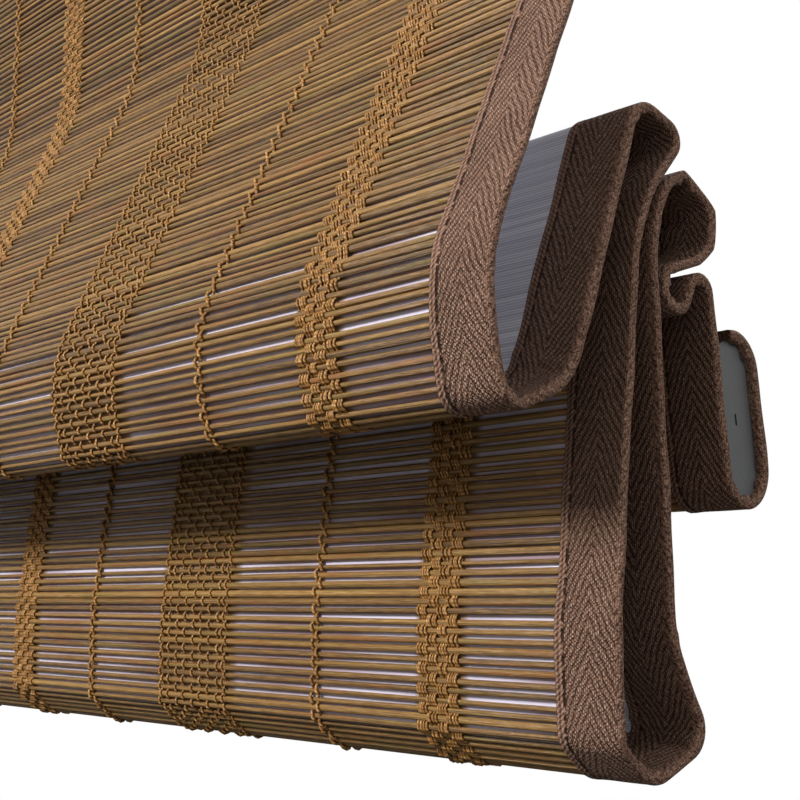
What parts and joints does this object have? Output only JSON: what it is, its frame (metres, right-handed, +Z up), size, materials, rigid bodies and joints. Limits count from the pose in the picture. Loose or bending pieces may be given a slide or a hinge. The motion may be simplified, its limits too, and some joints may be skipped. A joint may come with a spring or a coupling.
{
  "type": "woven reed blind",
  "caption": "Lined woven reed blind drawn up into folds under its headrail, with taped edges, a hem rail and swivel lock levers on its ceiling brackets.",
  "frame": {"origin": "middle of the four bracket screws, on the brackets' top faces", "axes": "+X along the blind to its right end as seen from the room, +Y back to the window, +Z up"},
  "size_m": [0.611, 0.1136, 0.3285],
  "materials": {
    "bracket": "satin",
    "lever": "satin",
    "rivet": "satin",
    "headrail": "satin",
    "headrail_cap": "matte",
    "strip": "matte",
    "reed": "satin",
    "yarn": "matte",
    "lining": "matte",
    "tape": "matte",
    "rail": "satin",
    "rail_cap": "matte"
  },
  "bodies": {
    "blind": {"bracket_left": "bracket", "bracket_right": "bracket", "lever_rivets": "rivet", "headrail": "headrail", "headrail_cap_left": "headrail_cap", "headrail_cap_right": "headrail_cap", "hook_strip": "strip", "loop_strip": "strip", "bamboo_mat": "reed", "warp_bands_narrow": "yarn", "warp_bands_wide": "yarn", "lining": "lining", "binding_left": "tape", "binding_right": "tape", "bottom_rail": "rail", "rail_cap_left": "rail_cap", "rail_cap_right": "rail_cap"},
    "lock_left": {"lever_left": "lever"},
    "lock_right": {"lever_right": "lever"}
  },
  "joints": [
    {"name": "lock_left_swivel", "type": "hinge", "parent": "blind", "child": "lock_left", "pos_m": [-0.22, 0.03, -0.0052], "axis": [0, 0, 1], "range_deg": [0, 90]},
    {"name": "lock_right_swivel", "type": "hinge", "parent": "blind", "child": "lock_right", "pos_m": [0.22, 0.03, -0.0052], "axis": [0, 0, 1], "range_deg": [0, 90]}
  ]
}
